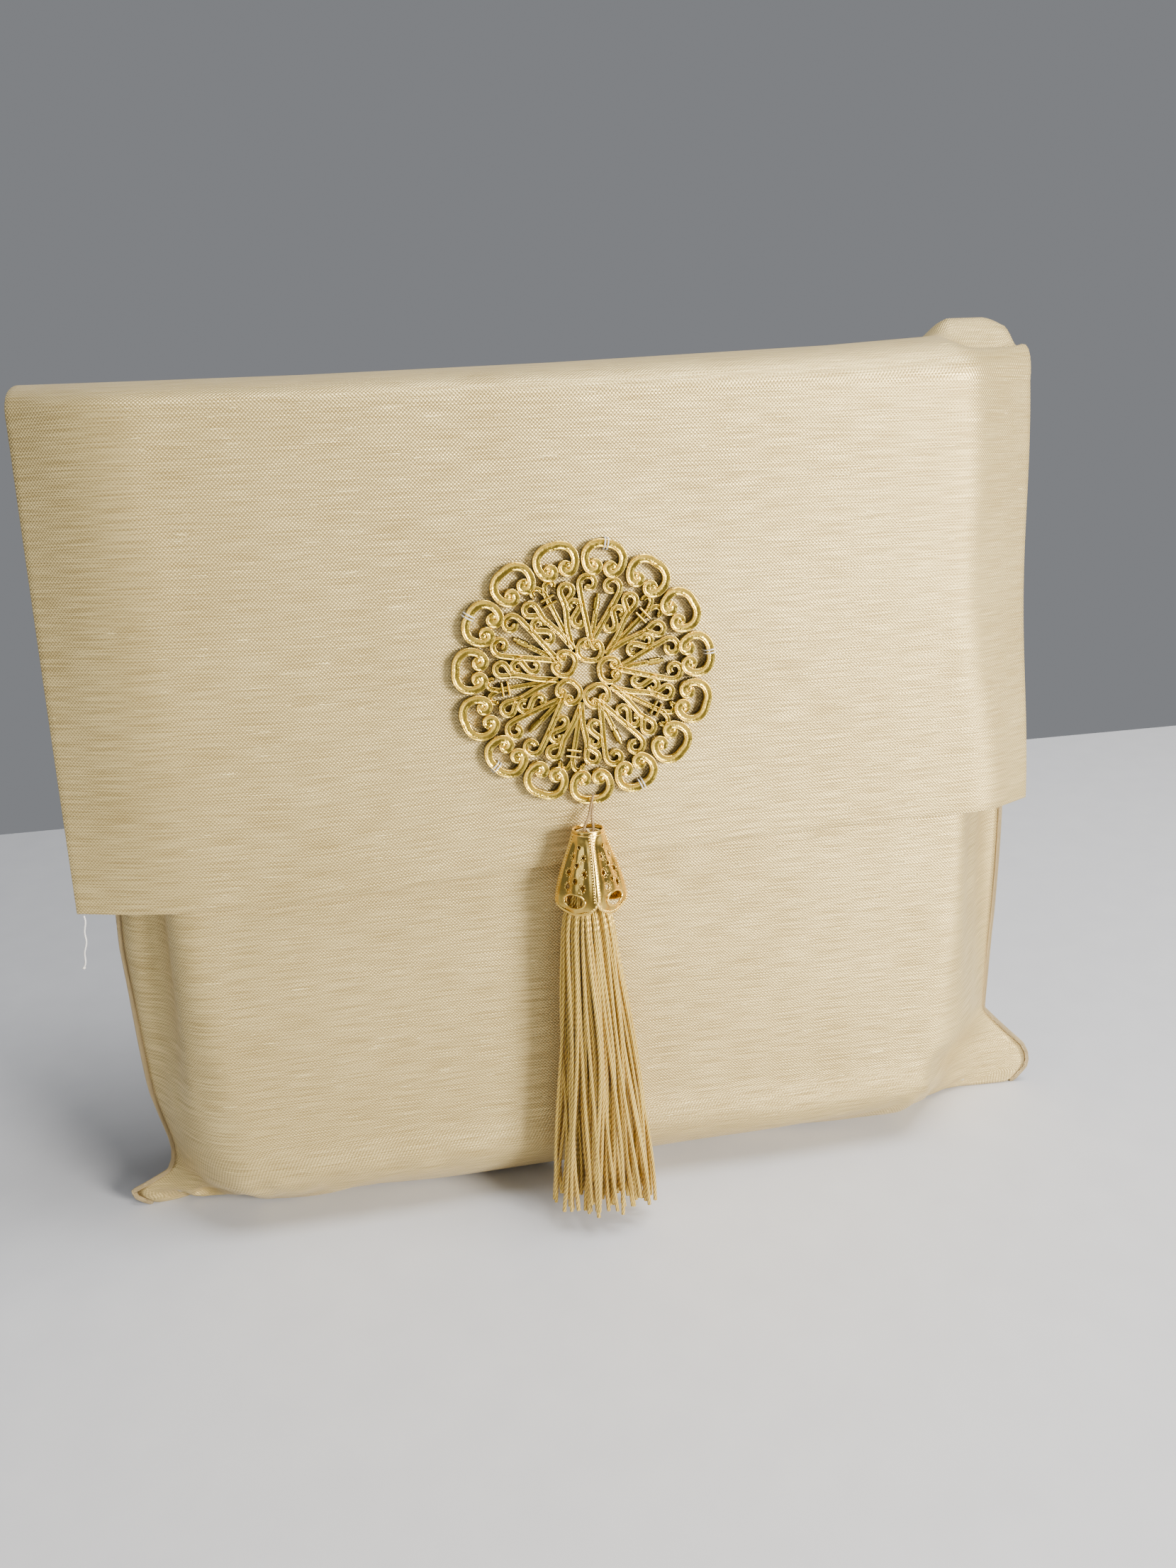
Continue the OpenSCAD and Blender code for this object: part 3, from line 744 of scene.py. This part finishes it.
class Casting:
    """Draws strokes on the medallion's own flat frame: x to the right, y up the face, millimetres."""

    def __init__(self):
        self.build = Build()
        self.seen = 0  # how many faces have their heights
        lo, hi = spans("medallion")
        self.radius = (hi[0] - lo[0]) / 2 / MM
        self.middle = ((lo[0] + hi[0]) / 2, lo[1], lo[2] + self.radius * MM)
        self.height = (hi[1] - lo[1]) / MM

    def place(self, path, turn, mirror):
        """A flat path turned clockwise about the middle, given across, out of and down the front."""
        x, y = path[:, 0] * (-1 if mirror else 1), path[:, 1]
        c, s = math.cos(math.radians(turn)), math.sin(math.radians(turn))
        x, y = x * c + y * s, -x * s + y * c
        across, out, down = self.middle
        return np.stack((across + x * MM, np.full(len(x), out), down - y * MM), -1)

    def stroke(self, path, section, turn, mirror=False):
        before = len(self.build.uvs)
        sweep(self.build, to_world(self.place(path, turn, mirror)), section * MM, OUT)
        self.heights(before)

    def heights(self, before):
        """The map's second number becomes the height over the silk, from 0 to 1."""
        faces = self.build.faces
        points = np.concatenate(self.build.points)
        out = (points @ OUT - self.middle[1]) / (self.height * MM)
        at = before
        for face in faces[self.seen:]:
            for index in face:
                self.build.uvs[at] = (self.build.uvs[at][0], float(out[index]))
                at += 1
        self.seen = len(faces)

    def ball(self, centre, radius, turn, mirror=False, top=1.0):
        """A round end, domed."""
        rings = []
        for share in np.linspace(0, 1, 5):
            r = radius * math.cos(share * math.pi / 2) + 1e-4
            h = self.height * top * (0.45 + 0.55 * math.sin(share * math.pi / 2))
            ring = arc(centre, r, r, 0, 330, 12)
            points = self.place(ring, turn, mirror)
            points[:, 1] += h * MM
            rings.append(to_world(points))
        base = self.place(arc(centre, radius, radius, 0, 330, 12), turn, mirror)
        grid = np.array([to_world(base)] + rings)
        before = len(self.build.uvs)
        self.build.grid(grid, np.zeros((6, 13, 2)), wrap=True, flip=mirror)
        self.heights(before)


def heart(casting, turn, centre_y, width, height, section, ball, inward=False):
    """A heart's two mirrored halves, round at the shoulders, each curling in to a ball."""
    half = join((0, 3.0), (1.3, 3.05), (2.7, 2.45), (3.7, 1.2), (3.85, -0.4), (3.35, -1.9), (2.4, -2.9),
                (1.3, -2.85), (0.7, -2.0), (0.9, -1.05), (1.75, -0.8), (2.15, -1.4))
    half[0] = half[0] * (0, 1)
    half = half * (width / 9.2, height / 7.6)
    if inward:
        half = half * (1, -1)
    half = half + (0, centre_y)
    for mirror in (False, True):
        casting.stroke(half, section, turn, mirror)
        casting.ball(half[-1], ball, turn, mirror)


def add_medallion():
    casting = Casting()
    top = casting.height
    rim_section = band(1.75, top, 0.17)
    wire = band(1.3, top * 0.93, 0.2)
    thin = band(1.1, top * 0.84, 0.22)
    for k in range(HEARTS):
        heart(casting, PHASE + PITCH * k, casting.radius - 3.75, 9.6, 7.6, rim_section, 0.95)
    scroll = join(arc((0.5, 14.2), 0.7, 1.55, -60, 190, 14), arc((-0.3, 11), 1.55, 0.7, 60, -190, 14))
    fan_a = join((0.1, 6.3), (-1.5, 10.4), (-3.1, 14.4), arc((-2.4, 18.4), 2.0, 0.85, 200, -130, 22))
    bud = join((0, 7.3), (0, 13.2))
    fan_b = join((-0.1, 5.9), (0.9, 10.2), (2.6, 14.4), arc((4.2, 17), 1.5, 1.2, 170, -90, 16), (2.9, 15))
    hook = join((-0.1, 18.2), arc((1.7, 19.4), 1.4, 0.7, 190, -20, 10))
    spear = join((0, 8.5), (0, 18.6))
    for k in range(5):
        turn = PHASE + 72 * k
        heart(casting, turn, 5.0, 6.0, 5.2, band(1.2, top), 0.6, inward=True)
        for mirror in (False, True):
            casting.stroke(fan_a, wire, turn, mirror)
            casting.ball((-2.2, 18.0), 0.5, turn, mirror, 0.85)
            casting.stroke(fan_b, wire, turn + 36, mirror)
            casting.stroke(hook, thin, turn + 36, mirror)
            casting.ball((2.5, 19.0), 0.5, turn + 36, mirror, 0.8)
            casting.stroke(scroll, wire, turn + (54 if mirror else 18), mirror)
        casting.stroke(bud, thin, turn)
        diamond = np.array([(0, 12.6), (0, 13.6), (0, 14.6), (0, 15.8), (0, 16.7)])
        for w, (a, b) in zip((0.9, 1.5, 1.5, 0.9), zip(diamond[:-1], diamond[1:])):
            casting.stroke(np.array((a, (a + b) / 2, b)), bar(w, top * 0.8), turn)
        casting.stroke(spear, thin, turn + 36)
        for r in (16.2, 17.5):
            casting.stroke(np.array([(-1.5, r), (0, r), (1.5, r)]), bar(0.7, top * 0.97), turn + 36)
    made = casting.build.piece("filigree_medallion", GOLD, "flap", "antique_gold")
    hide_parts("medallion")
    return casting


def add_stitches(casting):
    """Five pairs of small stitches that hold the medallion's rim to the silk."""
    build = Build()
    edge = casting.radius
    for k in range(0, HEARTS, 3):
        turn = PHASE + PITCH * k
        for shift in (-0.35, 0.3):
            t = np.linspace(0, math.pi, 15)
            y = edge - 0.75 + 1.15 * np.cos(t)
            rise = (casting.height + 0.18) * np.sin(t) ** 0.45
            points = casting.place(np.stack((np.full(len(t), shift), y), -1), turn, False)
            points[:, 1] += rise * MM - 0.15 * MM
            sideways = casting.place(np.array([(0, 0), (1.0, 0)]), turn, False)
            across = to_world(sideways[1:] - sideways[:1])[0]
            sweep(build, to_world(points), circle(0.17 * MM, 8), across)
    made = build.piece("sewing_stitches", THREAD, "flap", "sewing_thread")
    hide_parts("medallion_stitches")


# ---- Loop and tassel ----
def tassel_axis():
    """The tassel's pivot, and the direction that it hangs in."""
    pivot = np.array(JOINTS["tassel_sway"]["pos_m"])
    skirt = vertices("tassel_skirt")
    down = skirt @ DOWN
    tips = skirt[down > down.max() - 1.5 * MM].mean(0)
    along = tips - pivot
    return pivot, unit(along - OUT * (along @ OUT))


def add_loop():
    """A fine brown and gold thread from the bottom heart to the tassel's eye.
    It lies across the heart and along the eye, so its two legs take a quarter turn on their way."""
    start = np.array(JOINTS["loop_lift"]["pos_m"])
    pivot, _ = tassel_axis()
    along = pivot - start
    length = np.linalg.norm(along)
    along = along / length
    side = unit(ACROSS - along * (ACROSS @ along))
    face = np.cross(side, along)
    small, wide = 0.95 * MM, 1.0 * MM
    path = []
    for a in np.linspace(150, 30, 7):
        path.append((0, small * math.cos(math.radians(a)), -small * math.sin(math.radians(a))))
    for s in np.linspace(0, 1, 18):
        turn = math.radians(90) * s
        gap = (small + (wide - small) * s) * (1 - 0.55 * math.sin(math.pi * s) ** 2)
        path.append((gap * math.sin(turn), gap * math.cos(turn), s * (length - wide)))
    half = len(path)
    for a in np.linspace(15, 165, 9):
        path.append((wide * math.cos(math.radians(a)), 0, length - wide + wide * math.sin(math.radians(a))))
    for p in path[half - 1:6:-1]:
        path.append((-p[0], -p[1], p[2]))
    points = start + np.array(path) @ np.array((side, face, along))
    build = Build()
    sweep(build, points, circle(0.28 * MM, 10), side + 0.3 * face, closed=True)
    made = build.piece("thread_loop", BROWN, "loop", "brown_gold_thread")
    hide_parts("hanging_loop")


BEADED_HOLES = ((1.3, 5.2, 0.5), (-1.3, 5.2, 0.5), (2.0, 8.4, 0.7), (-2.0, 8.4, 0.7), (0, 6.8, 0.6),
                (1.9, 11.3, 0.75), (-1.9, 11.3, 0.75))  # across and down a petal, and radius, millimetres
PLAIN_HOLES = ((0, 3.2, 0.5), (0, 10.0, 0.7))
TIP_Y, TIP_HALF_W, TIP_HALF_H = 14.2, 3.1, 1.5  # the oval opening near a petal's end, millimetres


def add_cap(pivot, down):
    """A stamped cap of four petals that meet at beaded ridges and flare at their ends."""
    node = vertices("bead_cap")
    run = (node - pivot) @ down
    top, height = run.min(), run.max() - run.min()
    aside = np.cross(OUT, down)
    spread = np.abs((node - pivot) @ aside)
    crown_r, end_r = spread[run < top + 0.5 * MM].max(), spread.max()

    def flare(share):
        """The cap's radius along a ridge."""
        return crown_r + (end_r - crown_r) * np.sin(math.pi / 2 * share ** 1.15)

    def point(angle, share, extra=0.0):
        """angle 0 is the ridge in front; share goes from the crown to the petals' ends."""
        ridge = np.abs(np.cos(2 * angle))
        r = flare(share) * (1 - 0.16 * smooth(share * 5) * (1 - ridge ** 4))
        r = np.asarray(r - 0.5 * MM * smooth((share - 0.88) / 0.12) + extra)
        drop = np.asarray(top + share * height)
        ray = np.cos(angle)[..., None] * OUT + np.sin(angle)[..., None] * aside
        return pivot + down * drop[..., None] + ray * r[..., None]

    def edge(q):
        """How far down a petal reaches at q, from 0 at a ridge to 1 at the petal's middle."""
        return 0.80 + 0.20 * np.sqrt(np.clip(1 - (1 - q) ** 2.2, 0, 1))

    cols, rows = 192, 76
    angles = np.linspace(0, 2 * math.pi, cols, endpoint=False)
    q = 1 - 2 * np.abs(((angles / (math.pi / 2)) % 1) - 0.5)
    build = Build()
    share = np.linspace(0, 1, rows)[:, None] * edge(q)[None, :]
    across = np.broadcast_to(angles, share.shape)
    flute = 0.12 * MM * np.cos(q * math.pi * 2) * smooth(share * 2)
    grid = point(across, share, flute)
    petal = ((across / (math.pi / 2)) % 1 - 0.5) * math.pi / 2
    radius = np.linalg.norm(grid - (pivot + down * (top + share * height)[..., None]), axis=-1)
    sx, sy = petal * radius / MM, share * height / MM
    holes = np.zeros(share.shape, bool)
    for x0, y0, r in BEADED_HOLES + PLAIN_HOLES:
        holes |= (sx - x0) ** 2 + (sy - y0) ** 2 < r * r
    width = TIP_HALF_W * np.sqrt(np.clip(1 - ((sy - TIP_Y) / TIP_HALF_H) ** 2, 0, 1))
    holes |= (np.abs(sx) < width) & (np.abs(sy - TIP_Y) < TIP_HALF_H)
    # the petals' number 0.55 against the beading's 0.8 to 0.95 paints the flat petals darker and the raised
    # beads and wires lighter: painted shade and highlight
    build.grid(grid, np.broadcast_to((0.3, 0.55), (rows, cols + 1, 2)), wrap=True)
    both = holes[:-1] & holes[1:]
    kept = np.flatnonzero(~(both & np.roll(both, -1, 1)))  # all but the faces wholly inside a hole
    build.uvs = [uv for f in kept for uv in build.uvs[4 * f:4 * f + 4]]
    build.faces = [build.faces[f] for f in kept]
    sheet = build.piece("cap_petals", CAP_GOLD, "tassel", "antique_gold")
    solid = sheet.modifiers.new("thick", "SOLIDIFY")
    solid.thickness, solid.offset = 0.35 * MM, 0
    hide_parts("bead_cap")
    beads = Build()

    def wire(line, radius, up, shade, closed=False):
        """A round wire of one shade number along a line on the cap; a high number paints it lighter than the
        petals, a painted highlight on what stands up.
        """
        first = len(beads.uvs)
        sweep(beads, line, circle(radius, 8), up, closed=closed)
        beads.uvs[first:] = [(0, shade)] * (len(beads.uvs) - first)

    places = []
    for k in range(4):
        ridge = k * math.pi / 2
        for side in (-1, 1):
            for s in np.linspace(0.05, 0.8, 24):
                places.append((ridge + side * 0.13 * (3.6 / (3.3 + 4 * s)), s, 0.24))
            for t in np.linspace(0.06, 0.98, 13):
                angle = ridge + side * t * math.pi / 4
                places.append((angle, edge(t) - 0.02, 0.24))
        for x0, y0, hole_r in BEADED_HOLES:
            r = hole_r + 0.3
            for a in np.linspace(0, 2 * math.pi, 9, endpoint=False):
                s = (y0 + r * math.sin(a)) * MM / height
                places.append((ridge + math.pi / 4 + (x0 + r * math.cos(a)) * MM / flare(s), s, 0.13))
    for angle, s, size in places:
        centre = point(np.array(angle), np.array(s), 0.15 * MM)
        ray = math.cos(angle) * OUT + math.sin(angle) * aside
        one, two = np.cross(ray, down), down
        ring = []
        for h in np.linspace(0, 1, 4):
            r = size * math.cos(h * math.pi / 2) * MM + 1e-6
            for a in np.linspace(0, 2 * math.pi, 8, endpoint=False):
                around = r * (math.cos(a) * one + math.sin(a) * two)
                ring.append(centre + ray * size * MM * math.sin(h * math.pi / 2) + around)
        beads.grid(np.array(ring).reshape(4, 8, 3), np.full((4, 9, 2), 0.95), wrap=True, flip=True)
    for k in range(4):
        for side in (-1, 1):
            s = np.linspace(0.02, 0.82, 40)
            angle = k * math.pi / 2 + side * 0.035
            line = point(np.full(len(s), angle), s, 0.2 * MM)
            wire(line, 0.13 * MM, math.cos(angle) * OUT + math.sin(angle) * aside, 0.95)
    turns = np.linspace(0, 2 * math.pi, 48, endpoint=False)
    for k in range(4):
        t = np.linspace(0, 1, 40)
        angle = (k + t) * math.pi / 2
        wire(point(angle, edge(1 - np.abs(1 - 2 * t)) - 0.005, 0.05 * MM), 0.3 * MM, down, 0.8)
        s = (TIP_Y + (TIP_HALF_H + 0.05) * np.sin(turns)) * MM / height
        angle = k * math.pi / 2 + math.pi / 4 + TIP_HALF_W * np.cos(turns) * MM / flare(s)
        wire(point(angle, s, 0.1 * MM), 0.24 * MM, down, 0.8, closed=True)
    for s in (0.0, 0.04):
        wire(point(turns, np.full(len(turns), s), 0.2 * MM), 0.2 * MM, down, 0.9, closed=True)
    beads.piece("cap_beading", CAP_GOLD, "tassel", "antique_gold")


STRANDS = 135
STRAND_SEED = 7


def add_skirt(pivot, down):
    """Strands of twisted rayon that leave the cap together and spread to uneven tips."""
    node = vertices("tassel_skirt")
    run = (node - pivot) @ down
    aside = np.cross(OUT, down)
    spread, depth = (node - pivot) @ aside, (node - pivot) @ OUT
    top, end = run.min(), run.max()
    tips = run > end - 1.5 * MM
    half_w, half_d = spread[tips].max() * 0.96, depth[tips].max() * 0.94
    root = 1.9 * MM
    neck_w, neck_d = 4.6 * MM, 4.4 * MM
    random = np.random.default_rng(STRAND_SEED)
    build = Build()
    golden = math.pi * (3 - math.sqrt(5))
    t = np.linspace(0, 1, 26)
    for k in range(STRANDS):
        r = math.sqrt((k + 0.5) / STRANDS)
        a = golden * k + random.normal(0, 0.08)
        x, y = r * math.cos(a), r * math.sin(a)
        length = end - top - (0.2 + 4.2 * random.random() ** 1.6) * MM
        neck = smooth(t / 0.2)
        flare = 0.92 * t
        wide = root + (neck_w - root) * neck + (half_w - neck_w) * flare
        deep = root + (neck_d - root) * neck + (half_d - neck_d) * np.minimum(1, 1.5 * flare)
        sway = 1.3 * MM * t * (np.sin(2 * math.pi * (t * (0.6 + 0.6 * random.random()) + random.random())))
        lean = (-0.9 * smooth((0.6 - t) / 0.5) + 0.3 * random.normal() * t) * MM
        drop = top + length * t
        points = pivot + np.outer(drop, down) + np.outer(x * wide + sway + lean, aside)
        dent = np.clip(y * deep + 0.4 * sway, -half_d, half_d)
        points = points + np.outer(dent, OUT)
        size = (0.36 + 0.06 * random.random()) * MM
        sweep(build, points, circle(size, 7, 0.12), OUT + 0.02 * aside)
    made = build.piece("skirt_strands", RAYON, "tassel", "rayon_yarn")
    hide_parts("tassel_skirt")


def finish_core():
    """The head and its binding stay as the frame has them, in yarn and thread."""
    for name, light in (("tassel_core", (0.86, 0.64, 0.22, 1)), ("tassel_binding", (0.7, 0.5, 0.16, 1))):
        node = frame["nodes"][name]
        node.data.materials.clear()
        node.data.materials.append(wound(name, light))


def wound(name, light):
    """Thread wound round the tassel's head, by place and not by map; the dark between the turns is painted
    shade.
    """
    s = Shader(name + "_wound", Roughness=0.4, Sheen_Weight=0.3)
    height = s.split(s.node("TexCoord", output=3))[2]
    turns = s.maths("ABSOLUTE", s.maths("SINE", s.maths("MULTIPLY", height, math.pi / (0.4 * MM))))
    # painted shade: a darker copy of the thread's colour in the grooves between the turns
    dark = tuple(0.45 * c for c in light[:3]) + (1,)
    return s.finish(s.mix(turns, dark, light), turns, 0.15 * MM)


add_camera()
add_stage()
add_light("key", (0.54, -0.62, 0.3), 0.3, 18, (1, 0.97, 0.93))
add_light("top", (0.25, -0.1, 0.95), 0.5, 12, (0.97, 0.98, 1))
add_light("fill", (-0.8, -0.5, 0.4), 0.5, 1.2, (0.9, 0.95, 1))
add_pouch()
add_flap()
add_thread_tail()
medallion = add_medallion()
add_stitches(medallion)
PIVOT, HANG = tassel_axis()
add_loop()
add_cap(PIVOT, HANG)
add_skirt(PIVOT, HANG)
finish_core()
